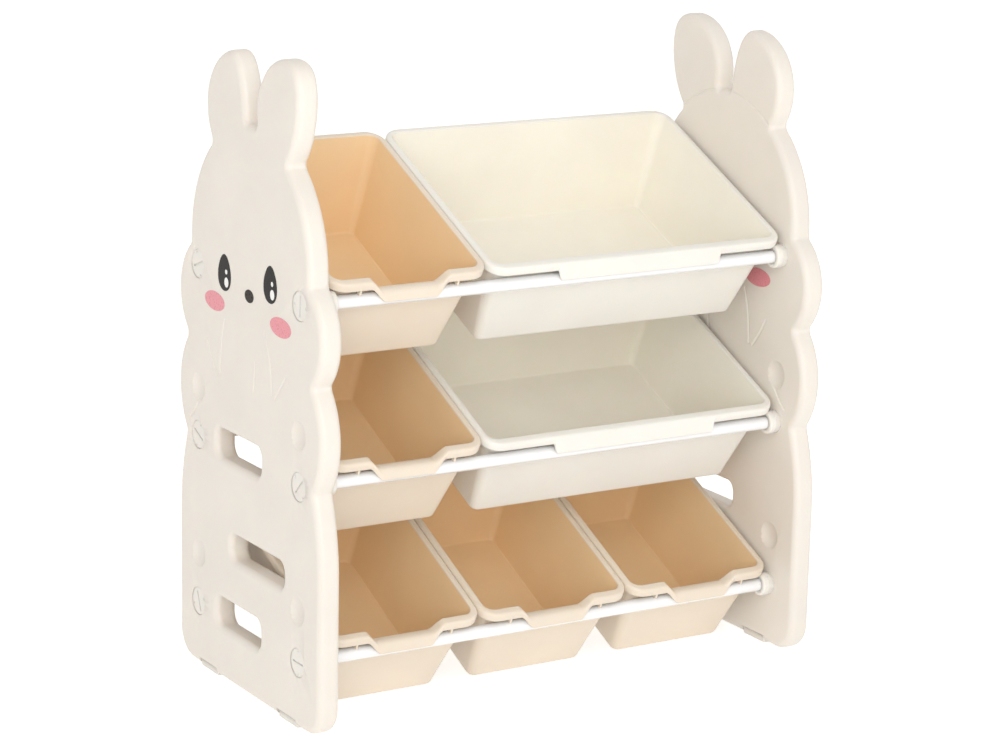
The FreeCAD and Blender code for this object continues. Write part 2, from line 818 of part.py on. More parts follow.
small_shape = small_bin()
large_shape = large_bin()
for name, height in zip(level_names, rail_heights):
    if name == "bottom":
        for place, column in (("left", -1), ("centre", 0), ("right", 1)):
            bin_copy = placed(small_shape, column * column_pitch, -rail_offset, height)
            save("bottom_" + place + "_bin", [bin_copy])
    else:
        save(name + "_small_bin", [placed(small_shape, -column_pitch, -rail_offset, height)])
        save(name + "_large_bin", [placed(large_shape, column_pitch / 2, -rail_offset, height)])
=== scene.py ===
"""Toy storage rack with rabbit side panels, tube rails and hanging bins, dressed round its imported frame."""
import logging
import math
from dataclasses import dataclass
from enum import Enum
from typing import Sequence

import bmesh
import bpy
from mathutils import Matrix, Vector


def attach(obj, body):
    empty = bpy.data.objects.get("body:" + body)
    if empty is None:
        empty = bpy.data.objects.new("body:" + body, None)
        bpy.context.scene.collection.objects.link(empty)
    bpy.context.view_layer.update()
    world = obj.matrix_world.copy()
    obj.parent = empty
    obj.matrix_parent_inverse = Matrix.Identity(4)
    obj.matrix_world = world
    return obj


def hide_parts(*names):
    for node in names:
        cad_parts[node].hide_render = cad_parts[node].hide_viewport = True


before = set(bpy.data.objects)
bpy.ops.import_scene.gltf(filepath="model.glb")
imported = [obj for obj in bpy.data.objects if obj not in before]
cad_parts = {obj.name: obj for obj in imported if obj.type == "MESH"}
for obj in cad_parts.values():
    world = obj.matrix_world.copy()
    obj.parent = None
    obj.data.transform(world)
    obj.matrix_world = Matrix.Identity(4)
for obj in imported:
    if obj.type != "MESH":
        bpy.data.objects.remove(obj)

LOG = logging.getLogger("toy_storage_rack")
MM = 0.001
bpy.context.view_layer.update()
RACK_BODY = "rack"

NOISE_SPAN = (0.3, 0.7)

Ring = list[bmesh.types.BMVert]
Point2 = tuple[float, float]


class Side(Enum):
    """The two side panels, with the way each outer face looks along X."""

    LEFT = -1
    RIGHT = 1

    @property
    def label(self) -> str:
        """The word that starts the names of this side's nodes."""
        return self.name.lower()


class Row(Enum):
    """The rack's levels, with the height of each rail axis in millimetres."""

    BOTTOM = 82.0
    MIDDLE = 293.0
    TOP = 504.0

    @property
    def label(self) -> str:
        """The word for this level in the names of nodes."""
        return self.name.lower()


class LipStyle(Enum):
    """How a bin's front rim turns into the lip that hangs on the rail."""

    DIPPED = "dipped"
    STRAIGHT = "straight"


# Finishes


class NodeSketch:
    """A short hand for wiring one material's nodes."""

    def __init__(self, name: str) -> None:
        """Start an empty node material.

        Args:
            name: The material's name.
        """
        self.material = bpy.data.materials.new(name)
        self.material.use_nodes = True
        self.tree = self.material.node_tree
        self.tree.nodes.clear()
        self.output = self.tree.nodes.new("ShaderNodeOutputMaterial")
        self.place = self.tree.nodes.new("ShaderNodeTexCoord").outputs["Object"]

    def node(self, kind: str, **inputs: object) -> bpy.types.Node:
        """Add a node and set or link its inputs.

        Args:
            kind: The node's type name.
            inputs: Values or sockets by input name, with underscores for spaces.

        Returns:
            The new node.
        """
        made = self.tree.nodes.new(kind)
        for label, value in inputs.items():
            socket = made.inputs[label.replace("_", " ")]
            if isinstance(value, bpy.types.NodeSocket):
                self.tree.links.new(value, socket)
            else:
                socket.default_value = value
        return made

    def noise(self, size_mm: float, detail: float) -> bpy.types.NodeSocket:
        """A noise over the object whose grains have about the given size.

        Args:
            size_mm: The grain size in millimetres.
            detail: How many finer octaves are added.

        Returns:
            The noise value's socket.
        """
        scale = 1 / (size_mm * MM)
        made = self.node("ShaderNodeTexNoise", Vector=self.place, Scale=scale, Detail=detail)
        return made.outputs["Fac"]

    def spread(self, value: bpy.types.NodeSocket, low: float, high: float) -> bpy.types.NodeSocket:
        """Carry the usual span of a noise value onto a range.

        Args:
            value: The noise value.
            low: The result at the span's low end.
            high: The result at its high end.

        Returns:
            The range's socket.
        """
        made = self.node("ShaderNodeMapRange", Value=value, To_Min=low, To_Max=high)
        made.inputs["From Min"].default_value, made.inputs["From Max"].default_value = NOISE_SPAN
        return made.outputs["Result"]

    def mixed(
        self, share: bpy.types.NodeSocket, first: Sequence[float], second: Sequence[float]
    ) -> bpy.types.NodeSocket:
        """Mix two colours.

        Args:
            share: The second colour's share.
            first: The first colour, red, green and blue.
            second: The second colour, red, green and blue.

        Returns:
            The mixed colour's socket.
        """
        made = self.tree.nodes.new("ShaderNodeMix")
        made.data_type = "RGBA"
        colours = [socket for socket in made.inputs if socket.type == "RGBA"]
        colours[0].default_value = (*first, 1.0)
        colours[1].default_value = (*second, 1.0)
        self.tree.links.new(share, made.inputs["Factor"])
        return next(socket for socket in made.outputs if socket.type == "RGBA")

    def bump(
        self, height: bpy.types.NodeSocket, depth_mm: float, below: bpy.types.NodeSocket | None = None
    ) -> bpy.types.NodeSocket:
        """Add a bump of a real depth, on top of another where given.

        Args:
            height: The height value.
            depth_mm: The depth in millimetres of a height of one.
            below: The normal that this bump is added to.

        Returns:
            The bumped normal's socket.
        """
        made = self.node("ShaderNodeBump", Height=height, Distance=depth_mm * MM, Strength=1.0)
        if below is not None:
            self.tree.links.new(below, made.inputs["Normal"])
        return made.outputs["Normal"]

    def finish(self, shader: bpy.types.Node) -> bpy.types.Material:
        """Send a shader to the output.

        Args:
            shader: The surface shader.

        Returns:
            The finished material.
        """
        self.tree.links.new(shader.outputs[0], self.output.inputs["Surface"])
        return self.material


def toned(colour: Sequence[float], factor: float) -> tuple[float, ...]:
    """Scale a colour.

    Args:
        colour: Red, green and blue.
        factor: What each is multiplied by.

    Returns:
        The scaled colour.
    """
    return tuple(channel * factor for channel in colour)


@dataclass(frozen=True)
class MouldedPlastic:
    """A moulded plastic with a fine grain, slow waves in its skin, a faint mottle and a warm inner glow.

    The wave is deep on blown walls, which never come out of the mould quite flat.
    """

    name: str
    colour: tuple[float, float, float]
    roughness: float = 0.42
    grain_mm: float = 0.7
    grain_depth_mm: float = 0.012
    wave_mm: float = 70.0
    wave_depth_mm: float = 0.5
    mottle: float = 0.03
    cloud_mm: float = 90.0
    sheen_mm: float = 14.0
    sheen_spread: float = 0.05
    refraction: float = 1.5
    glow: float = 0.2
    glow_depth_mm: float = 3.0
    glow_tint: tuple[float, float, float] = (1.0, 0.6, 0.35)

    def material(self) -> bpy.types.Material:
        """Build the node material.

        Returns:
            The material.
        """
        sketch = NodeSketch(self.name)
        cloud = sketch.noise(self.cloud_mm, detail=3.0)
        grain = sketch.noise(self.grain_mm, detail=2.0)
        wave = sketch.noise(self.wave_mm, detail=1.0)
        dark = toned(self.colour, 1 - self.mottle)
        light = toned(self.colour, 1 + self.mottle / 2)
        colour = sketch.mixed(sketch.spread(cloud, 0.0, 1.0), dark, light)
        sheen = sketch.noise(self.sheen_mm, detail=3.0)
        rough = sketch.spread(sheen, self.roughness - self.sheen_spread, self.roughness + self.sheen_spread)
        normal = sketch.bump(wave, self.wave_depth_mm)
        normal = sketch.bump(grain, self.grain_depth_mm, normal)
        shader = sketch.node("ShaderNodeBsdfPrincipled", Base_Color=colour, Roughness=rough, Normal=normal)
        shader.inputs["IOR"].default_value = self.refraction
        shader.inputs["Subsurface Weight"].default_value = self.glow
        shader.inputs["Subsurface Radius"].default_value = self.glow_tint
        shader.inputs["Subsurface Scale"].default_value = self.glow_depth_mm * MM
        return sketch.finish(shader)


@dataclass(frozen=True)
class PaintedSteel:
    """White stoved paint on a steel tube, with the slight peel of a sprayed coat."""

    name: str
    colour: tuple[float, float, float]
    roughness: float = 0.2
    cloud_mm: float = 40.0
    cloud_tone: float = 0.985
    sheen_mm: float = 9.0
    sheen_drop: float = 0.04
    sheen_rise: float = 0.06
    peel_mm: float = 1.6
    peel_depth_mm: float = 0.01
    coat: float = 0.4
    coat_roughness: float = 0.08

    def material(self) -> bpy.types.Material:
        """Build the node material.

        Returns:
            The material.
        """
        sketch = NodeSketch(self.name)
        cloud = sketch.spread(sketch.noise(self.cloud_mm, detail=2.0), 0.0, 1.0)
        colour = sketch.mixed(cloud, toned(self.colour, self.cloud_tone), self.colour)
        sheen = sketch.noise(self.sheen_mm, detail=2.0)
        rough = sketch.spread(sheen, self.roughness - self.sheen_drop, self.roughness + self.sheen_rise)
        normal = sketch.bump(sketch.noise(self.peel_mm, detail=1.0), self.peel_depth_mm)
        shader = sketch.node("ShaderNodeBsdfPrincipled", Base_Color=colour, Roughness=rough, Normal=normal)
        shader.inputs["Coat Weight"].default_value = self.coat
        shader.inputs["Coat Roughness"].default_value = self.coat_roughness
        return sketch.finish(shader)


@dataclass(frozen=True)
class PrintedVinyl:
    """A printed sticker skin with a satin film, faintly uneven ink and fine film grain."""

    name: str
    colour: tuple[float, float, float]
    roughness: float = 0.3
    ink_spread: float = 0.06
    gloss: float = 0.4
    ink_mm: float = 5.0
    sheen_mm: float = 2.0
    sheen_spread: float = 0.06
    film_grain_mm: float = 0.9
    film_grain_depth_mm: float = 0.006

    def material(self) -> bpy.types.Material:
        """Build the node material.

        Returns:
            The material.
        """
        sketch = NodeSketch(self.name)
        ink = sketch.spread(sketch.noise(self.ink_mm, detail=4.0), 0.0, 1.0)
        dark = toned(self.colour, 1 - self.ink_spread)
        light = toned(self.colour, 1 + self.ink_spread)
        colour = sketch.mixed(ink, dark, light)
        sheen = sketch.noise(self.sheen_mm, detail=2.0)
        rough = sketch.spread(sheen, self.roughness - self.sheen_spread, self.roughness + self.sheen_spread)
        grain = sketch.noise(self.film_grain_mm, detail=1.0)
        normal = sketch.bump(grain, self.film_grain_depth_mm)
        shader = sketch.node("ShaderNodeBsdfPrincipled", Base_Color=colour, Roughness=rough, Normal=normal)
        shader.inputs["Specular IOR Level"].default_value = self.gloss
        return sketch.finish(shader)


PANEL_PLASTIC = MouldedPlastic("panel_blown_plastic", (0.84, 0.785, 0.715))
CONNECTOR_PLASTIC = MouldedPlastic(
    "connector_plastic", (0.87, 0.845, 0.79), roughness=0.38, wave_depth_mm=0.05
)
CAP_PLASTIC = MouldedPlastic("screw_cap_plastic", (0.845, 0.81, 0.75), roughness=0.4, wave_depth_mm=0.03)
FOOT_PLASTIC = MouldedPlastic("foot_pad_plastic", (0.83, 0.80, 0.745), roughness=0.55, wave_depth_mm=0.05)
# The small bins' one plastic is drawn as two copies: the paler outside copy is painted with the front light's
# glare, and the deeper, warmer inside copy is painted with light bouncing between the walls.
SMALL_BIN_GLARE_PAINT = MouldedPlastic(
    "small_bin_painted_glare", (0.825, 0.725, 0.60), roughness=0.4, wave_mm=110.0, wave_depth_mm=0.35
)
SMALL_BIN_BOUNCE_PAINT = MouldedPlastic(
    "small_bin_painted_bounce", (0.905, 0.685, 0.425), roughness=0.46, wave_mm=110.0, wave_depth_mm=0.35
)
# The large bins' one plastic is drawn as two copies in the same way: the outside copy is painted paler with
# glare, and the inside copy is painted deeper and yellower with bounce light.
LARGE_BIN_GLARE_PAINT = MouldedPlastic(
    "large_bin_painted_glare", (0.875, 0.85, 0.79), roughness=0.38, wave_mm=120.0, wave_depth_mm=0.35
)
LARGE_BIN_BOUNCE_PAINT = MouldedPlastic(
    "large_bin_painted_bounce", (0.935, 0.895, 0.80), roughness=0.44, wave_mm=120.0, wave_depth_mm=0.35
)
RAIL_PAINT = PaintedSteel("rail_white_paint", (0.92, 0.92, 0.925))
EYE_VINYL = PrintedVinyl("eye_ink", (0.016, 0.013, 0.011), gloss=0.1)
GLINT_VINYL = PrintedVinyl("eye_glint", (0.93, 0.92, 0.90), ink_spread=0.02)
NOSE_VINYL = PrintedVinyl("nose_ink", (0.026, 0.02, 0.017), gloss=0.1)
CHEEK_VINYL = PrintedVinyl("cheek_ink", (0.80, 0.29, 0.33), ink_spread=0.03)


# Mesh helpers


def recalculate(mesh: bmesh.types.BMesh) -> None:
    """Merge doubles and turn all faces outwards.

    Args:
        mesh: The mesh to mend.
    """
    bmesh.ops.remove_doubles(mesh, verts=mesh.verts[:], dist=1e-6)
    bmesh.ops.recalc_face_normals(mesh, faces=mesh.faces[:])


def publish(
    mesh: bmesh.types.BMesh,
    name: str,
    materials: Sequence[bpy.types.Material],
    body: str,
    nodes: Sequence[str] = (),
    smooth_degrees: float = 40.0,
) -> bpy.types.Object:
    """Make an object of a finished mesh and tie it to the frame.

    Args:
        mesh: The finished mesh, which is freed.
        name: The piece's name.
        materials: The materials by face index.
        body: The body that carries the piece.
        nodes: The solids that the piece stands for.
        smooth_degrees: Edges sharper than this stay crisp.

    Returns:
        The new object.
    """
    data = bpy.data.meshes.new(name)
    mesh.to_mesh(data)
    mesh.free()
    for material in materials:
        data.materials.append(material)
    data.shade_smooth()
    data.set_sharp_from_angle(angle=math.radians(smooth_degrees))
    piece = bpy.data.objects.new(name, data)
    bpy.context.scene.collection.objects.link(piece)
    even = piece.modifiers.new("even_normals", "WEIGHTED_NORMAL")
    even.keep_sharp = True
    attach(piece, body)
    if nodes:
        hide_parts(*nodes)
    LOG.info("%s: %d faces on %s", name, len(data.polygons), body)
    return piece


def lathe(mesh: bmesh.types.BMesh, profile: Sequence[Point2], centre: Vector, steps: int) -> None:
    """Spin a profile round an axis along X.

    Args:
        mesh: The mesh that takes the shape.
        profile: Points as distance along the axis and radius, in millimetres.
        centre: The point of the axis where the distance is zero, in metres.
        steps: How many steps make the full turn.
    """
    ring = [mesh.verts.new(centre + Vector((along, 0, radius)) * MM) for along, radius in profile]
    edges = [mesh.edges.new(pair) for pair in zip(ring, ring[1:])]
    bmesh.ops.spin(
        mesh, geom=ring + edges, cent=centre, axis=(1, 0, 0), angle=2 * math.pi, steps=steps, use_merge=True
    )


def next_ring(mesh: bmesh.types.BMesh, ring: Ring, places: Sequence[Vector]) -> Ring:
    """Extrude a closed ring of vertices and set each new vertex in its place.

    Args:
        mesh: The mesh that holds the ring.
        ring: The ring's vertices in order.
        places: The new vertices' places in the same order.

    Returns:
        The new ring, in the same order.
    """
    edges = [mesh.edges.get(pair) for pair in zip(ring, ring[1:] + ring[:1])]
    made = bmesh.ops.extrude_edge_only(mesh, edges=edges)["geom"]
    fresh = {item for item in made if isinstance(item, bmesh.types.BMVert)}
    after = []
    for vertex, place in zip(ring, places):
        neighbours = (edge.other_vert(vertex) for edge in vertex.link_edges)
        partner = next(neighbour for neighbour in neighbours if neighbour in fresh)
        partner.co = place
        after.append(partner)
    return after


def first_ring(mesh: bmesh.types.BMesh, places: Sequence[Vector]) -> Ring:
    """Start a closed ring of vertices.

    Args:
        mesh: The mesh that takes the ring.
        places: The vertices' places in order.

    Returns:
        The ring in the same order.
    """
    ring = bmesh.ops.create_circle(mesh, segments=len(places), radius=1.0)["verts"]
    for vertex, place in zip(ring, places):
        vertex.co = place
    return ring


# Bins


@dataclass(frozen=True)
class RingShape:
    """One level of a bin: a rounded rectangle along the bin's own axes, in millimetres."""

    half_width: float
    front: float
    rear: float
    radius: float
    level: float


@dataclass(frozen=True)
class LipPoint:
    """A point of a lip's section, placed level and upright from the front rail's axis, in millimetres.

    The lip keeps its full shape up to one distance from the bin's middle, and is gone at the next.
    """

    depth: float
    height: float
    full_to: float
    gone_at: float


@dataclass
class Bin:
    """An open bin that hangs tilted on its front rail and rests on the rear one."""

    name: str
    row: Row
    centre_x: float
    width: float
    lip: LipStyle
    # finish is the outside copy of the bin's plastic, painted paler with glare; inside is the inside copy,
    # painted deeper and warmer with bounce light.
    finish: MouldedPlastic
    inside: MouldedPlastic
    tilt_degrees: float = 24.4
    rail_y: float = -131.0
    rail_run: float = 262.0
    rail_radius: float = 8.0
    clearance: float = 0.3
    wall: float = 2.5
    rim_front: float = -4.5
    rim_length: float = 300.0
    rim_rise: float = 26.5
    rim_height: float = 10.8
    rim_reach: float = 6.0
    rim_front_reach: float = 9.0
    rim_corner: float = 24.0
    corner: float = 15.0
    foot_corner: float = 10.0
    least_corner: float = 2.0
    least_floor_corner: float = 1.0
    floor_radius: float = 4.5
    side_draft: float = 8.6
    front_draft: float = 8.6
    rear_draft: float = 13.5
    dip_depth: float = 16.8
    outer_stop: float = 8.0
    inner_stop: float = 3.0
    floor_margin: float = 4.0
    rib_thickness: float = 2.5
    tab_offset: float = 64.0
    small_rib_offsets: tuple[float, ...] = (20.0,)
    large_rib_offsets: tuple[float, ...] = (40.0, 95.0)
    smooth_degrees: float = 50.0
    corner_steps: int = 10
    edge_steps: int = 10
    seat_steps: int = 12

    def __post_init__(self) -> None:
        """Work out the floor's level and the stations across the front, as shares of its straight half."""
        self.tilt = math.radians(self.tilt_degrees)
        self.floor_level = self.rail_radius + self.clearance - self.rail_run * math.sin(self.tilt)
        # Distances from the bin's middle, closer together where the lip runs out
        if self.lip is LipStyle.DIPPED:
            places = [0, 9, 18, 26, 30, *range(32, 36), *range(36, 50, 2), *range(50, 55), 56, 60, 66, 72]
        else:
            places = [*range(0, 100, 20), 95, 104, 107, *range(109, 119), 120, 126, 140, 160, 175]
        straight = self.width / 2 - self.rim_corner
        half = [place / straight for place in places] + [1.0]
        self.stations = [-share for share in reversed(half[1:])] + half

    def at(self, x: float, along: float, level: float) -> Vector:
        """A point given along the bin's own axes.

        Args:
            x: The distance from the bin's middle.
            along: The distance up the slope from the front rail's axis.
            level: The distance square to the slope from the front rail's axis.

        Returns:
            The point in the rack, in metres.
        """
        depth = along * math.cos(self.tilt) - level * math.sin(self.tilt)
        height = along * math.sin(self.tilt) + level * math.cos(self.tilt)
        return self.by_rail(x, depth, height)

    def by_rail(self, x: float, depth: float, height: float) -> Vector:
        """A point given level and upright from the front rail's axis.

        Args:
            x: The distance from the bin's middle.
            depth: The distance behind the axis.
            height: The distance above the axis.

        Returns:
            The point in the rack, in metres.
        """
        return Vector((self.centre_x + x, self.rail_y + depth, self.row.value + height)) * MM

    def wall_ring(self, level: float, inset: float) -> RingShape:
        """The wall's ring at a level, with corners that tighten towards the floor.

        Args:
            level: The level square to the slope.
            inset: How far inside the outer face it lies.

        Returns:
            The ring's shape.
        """
        drop = self.rim_rise - level
        share = drop / (self.rim_rise - self.floor_level)
        corner = self.corner + (self.foot_corner - self.corner) * share
        rear = self.rim_front + self.rim_length - self.rim_reach
        return RingShape(
            self.width / 2 - self.rim_reach - drop * math.tan(math.radians(self.side_draft)) - inset,
            self.rim_front + self.rim_front_reach + drop * math.tan(math.radians(self.front_draft)) + inset,
            rear - drop * math.tan(math.radians(self.rear_draft)) - inset,
            max(corner - inset, self.least_corner),
            level,
        )

    def rim_ring(self, level: float, inset: float) -> RingShape:
        """The rim's ring at a level.

        Args:
            level: The level square to the slope.
            inset: How far inside the rim's outer face it lies.

        Returns:
            The ring's shape.
        """
        return RingShape(
            self.width / 2 - inset,
            self.rim_front + inset,
            self.rim_front + self.rim_length - inset,
            self.rim_corner - inset,
            level,
        )

    def ring_points(self, shape: RingShape) -> list[Vector]:
        """The points of a ring along the bin's own axes, starting at the front's left end.

        Args:
            shape: The ring's shape.

        Returns:
            Points as X, distance along the slope and level.
        """
        half = shape.half_width - shape.radius
        near = shape.front + shape.radius
        far = shape.rear - shape.radius

        def on_corner(x: float, along: float, degrees: float) -> Vector:
            """The point of a corner's arc at an angle."""
            reach = Matrix.Rotation(math.radians(degrees), 3, "Z") @ Vector((shape.radius, 0, 0))
            return Vector((x, along, shape.level)) + reach

        points = [Vector((share * half, shape.front, shape.level)) for share in self.stations]
        corners = ((half, near, -90.0), (half, far, 0.0), (-half, far, 90.0), (-half, near, 180.0))
        for index, (x, along, start) in enumerate(corners):
            for step in range(1, self.corner_steps + 1):
                points.append(on_corner(x, along, start + 90.0 * step / self.corner_steps))
            if index + 1 < len(corners):
                begin = points[-1]
                end = on_corner(*corners[index + 1])
                for step in range(1, self.edge_steps + 1):
                    points.append(begin.lerp(end, step / self.edge_steps))
        return points[:-1]

    def sections(self) -> list[tuple[RingShape, str | None]]:
        """The rings from the outer floor up, over the rim and down to the inner floor.

        Returns:
            Each ring's shape with the lip point that it runs into at the front, if any.
        """
        low = self.floor_level
        top = self.rim_rise
        under = top - self.wall
        band = top - self.rim_height
        dip_floor = top - self.dip_depth
        foot_turns = [math.radians(turn) for turn in (0.0, 22.5, 45.0, 67.5, 90.0)]
        quarters = (0.25, 0.5, 0.75, 1.0)
        rings: list[tuple[RingShape, str | None]] = []
        for angle in foot_turns:
            level = low + self.floor_radius * (1 - math.cos(angle))
            rings.append((self.wall_ring(level, self.floor_radius * (1 - math.sin(angle))), None))
        outer_top = dip_floor - self.outer_stop
        rings += [(self.wall_ring(low + (outer_top - low) * share, 0.0), None) for share in quarters]
        rings.append((self.wall_ring(band + 1.0, 0.0), "root"))
        rings.append((self.wall_ring(under, 0.0), "under_back"))
        rim_rings = (
            (under, self.wall, "under_crest"),
            (under - 2.5, self.wall, "under_turn"),
            (under - 5.5, self.wall, "under_shoulder"),
            (band + 0.4, self.wall, "skirt_inner"),
            (band, self.wall - 0.5, "skirt_inner_low"),
            (band, 0.6, "skirt_low"),
            (band + 0.6, 0.0, "skirt_outer_low"),
            (band + 5.0, 0.0, "skirt_outer"),
            (top - 3.5, 0.0, "shoulder"),
            (top - 1.75, 0.47, "shoulder_turn"),
            (top - 0.5, 1.7, "brow"),
            (top, 3.5, "crest"),
        )
        rings += [(self.rim_ring(level, inset), lip_name) for level, inset, lip_name in rim_rings]
        rings.append((self.wall_ring(top, self.wall - 1.6), "rear_edge"))
        rings.append((self.wall_ring(top - 0.5, self.wall - 0.4), "rear_turn"))
        rings.append((self.wall_ring(top - 1.6, self.wall), "rear_low"))
        inner = low + self.wall
        radius = self.floor_radius - self.wall
        inner_top = dip_floor - self.inner_stop
        for share in reversed(quarters):
            level = inner + radius + (inner_top - inner - radius) * share
            rings.append((self.wall_ring(level, self.wall), None))
        for angle in reversed(foot_turns):
            level = inner + radius * (1 - math.cos(angle))
            rings.append((self.wall_ring(level, self.wall + radius * (1 - math.sin(angle))), None))
        return rings

    def lip_points(self) -> dict[str, LipPoint]:
        """The lip's section round the rail.

        Returns:
            The section's points by name.
        """
        if self.lip is LipStyle.DIPPED:
            return {
                "root": LipPoint(5.4, 7.2, 36.0, 53.5),
                "under_back": LipPoint(3.6, 9.9, 36.0, 53.5),
                "under_crest": LipPoint(-1.5, 10.2, 36.0, 53.5),
                "under_turn": LipPoint(-6.6, 9.6, 35.5, 53.0),
                "under_shoulder": LipPoint(-9.3, 6.0, 35.0, 52.0),
                "skirt_inner": LipPoint(-9.5, -1.9, 33.0, 51.0),
                "skirt_inner_low": LipPoint(-9.9, -2.5, 33.0, 51.0),
                "skirt_low": LipPoint(-11.9, -2.5, 33.0, 51.0),
                "skirt_outer_low": LipPoint(-12.5, -1.9, 33.0, 51.0),
                "skirt_outer": LipPoint(-12.5, 2.4, 33.5, 51.5),
                "shoulder": LipPoint(-12.4, 6.4, 34.5, 52.0),
                "shoulder_turn": LipPoint(-11.3, 9.8, 35.0, 52.5),
                "brow": LipPoint(-8.2, 12.3, 35.5, 53.0),
                "crest": LipPoint(-3.4, 13.3, 36.0, 53.5),
                "rear_edge": LipPoint(2.4, 13.1, 36.0, 53.5),
                "rear_turn": LipPoint(4.0, 12.7, 36.0, 53.5),
                "rear_low": LipPoint(4.8, 11.9, 36.0, 53.5),
            }
        return {
            "under_shoulder": LipPoint(-9.8, 12.0, 113.0, 117.0),
            "skirt_inner": LipPoint(-9.5, 1.6, 112.0, 116.0),
            "skirt_inner_low": LipPoint(-9.9, 1.0, 112.0, 116.0),
            "skirt_low": LipPoint(-11.9, 1.0, 112.0, 116.0),
            "skirt_outer_low": LipPoint(-12.5, 1.6, 112.0, 116.0),
            "skirt_outer": LipPoint(-12.7, 7.0, 112.5, 116.5),
            "shoulder": LipPoint(-13.2, 15.0, 113.0, 117.0),
        }

    def ring_places(self, shape: RingShape, lip_name: str | None) -> list[Vector]:
        """A ring's points in the rack, with its front run into the lip.

        Args:
            shape: The ring's shape.
            lip_name: The lip point that the ring runs into, if any.

        Returns:
            The points in order, in metres.
        """
        lip = self.lip_points().get(lip_name) if lip_name else None
        places = []
        for index, point in enumerate(self.ring_points(shape)):
            place = self.at(point.x, point.y, point.z)
            if lip is not None and index < len(self.stations):
                share = (lip.gone_at - abs(point.x)) / (lip.gone_at - lip.full_to)
                share = min(max(share, 0.0), 1.0)
                share = share * share * (3 - 2 * share)
                place = place.lerp(self.by_rail(point.x, lip.depth, lip.height), share)
            places.append(place)
        return places

    def close_floor(self, mesh: bmesh.types.BMesh, ring: Ring, shape: RingShape) -> Ring:
        """Close a floor ring with a rim of quads and one flat face.

        Args:
            mesh: The bin's mesh.
            ring: The ring at the floor's edge.
            shape: The ring's shape.

        Returns:
            The ring round the flat face.
        """
        margin = self.floor_margin
        inner = RingShape(
            shape.half_width - margin,
            shape.front + margin,
            shape.rear - margin,
            max(shape.radius - margin, self.least_floor_corner),
            shape.level,
        )
        last = next_ring(mesh, ring, self.ring_places(inner, None))
        bmesh.ops.contextual_create(mesh, geom=last)
        return last

    def add_rib(self, mesh: bmesh.types.BMesh, x: float, outline: Sequence[Point2]) -> None:
        """Add a thin rib under the lip.

        Args:
            mesh: The bin's mesh.
            x: The rib's distance from the bin's middle.
            outline: Its corners as depth and height from the rail's axis.
        """
        left = x - self.rib_thickness / 2
        corners = [mesh.verts.new(self.by_rail(left, depth, height)) for depth, height in outline]
        face = mesh.faces.new(corners)
        made = bmesh.ops.extrude_face_region(mesh, geom=[face])["geom"]
        moved = [item for item in made if isinstance(item, bmesh.types.BMVert)]
        bmesh.ops.translate(mesh, verts=moved, vec=(self.rib_thickness * MM, 0, 0))

    def seat(self, front: float, rear: float) -> list[Point2]:
        """The rib's hollow over the rail, from its front end round to its rear end.

        Args:
            front: The angle at the front end, in degrees up from level.
            rear: The angle at the rear end.

        Returns:
            Points as depth and height from the rail's axis.
        """
        radius = self.rail_radius + self.clearance
        points = []
        for step in range(self.seat_steps + 1):
            angle = math.radians(front + (rear - front) * step / self.seat_steps)
            points.append((radius * math.cos(angle), radius * math.sin(angle)))
        return points

    def add_ribs(self, mesh: bmesh.types.BMesh) -> None:
        """Add the ribs that sit on the front rail, and a small bin's tabs beside its lip.

        Args:
            mesh: The bin's mesh.
        """
        if self.lip is LipStyle.DIPPED:
            tab = [(4.4, 10.9), (-5.0, 24.8), (-13.0, 21.4), (-6.4, 6.6)]
            for side in (-1, 1):
                self.add_rib(mesh, side * self.tab_offset, tab)
            outline = [(5.2, 9.7), (-3.0, 12.6), (-11.9, 6.6), (-11.9, -1.9)]
            outline += self.seat(front=176.0, rear=72.0)
            offsets = self.small_rib_offsets
        else:
            outline = [(4.5, 10.8), (-5.0, 24.8), (-12.8, 21.4), (-11.9, 6.6), (-11.9, 1.6)]
            outline += self.seat(front=148.0, rear=90.0)
            offsets = self.large_rib_offsets
        for offset in offsets:
            for side in (-1, 1):
                self.add_rib(mesh, side * offset, outline)

    def build(self) -> bpy.types.Object:
        """Model the bin and dress it.

        Returns:
            The finished piece.
        """
        mesh = bmesh.new()
        sections = self.sections()
        ring = first_ring(mesh, self.ring_places(*sections[0]))
        outer_floor = ring
        past_rim = False
        inner_verts: set[bmesh.types.BMVert] = set()
        for shape, lip_name in sections[1:]:
            ring = next_ring(mesh, ring, self.ring_places(shape, lip_name))
            past_rim = past_rim or lip_name == "rear_low"
            if past_rim:
                inner_verts.update(ring)
        self.close_floor(mesh, outer_floor, sections[0][0])
        inner_verts.update(self.close_floor(mesh, ring, sections[-1][0]))
        # Faces wholly inside take the second material, whose deeper, warmer colour is painted bounce light;
        # the rest take the paler copy painted with glare.
        for face in mesh.faces:
            face.material_index = int(all(vertex in inner_verts for vertex in face.verts))
        self.add_ribs(mesh)
        recalculate(mesh)
        materials = [self.finish.material(), self.inside.material()]
        body = self.name + "_body"
        return publish(
            mesh, self.name + "_shell", materials, body, [self.name], self.smooth_degrees
        )


# Rails


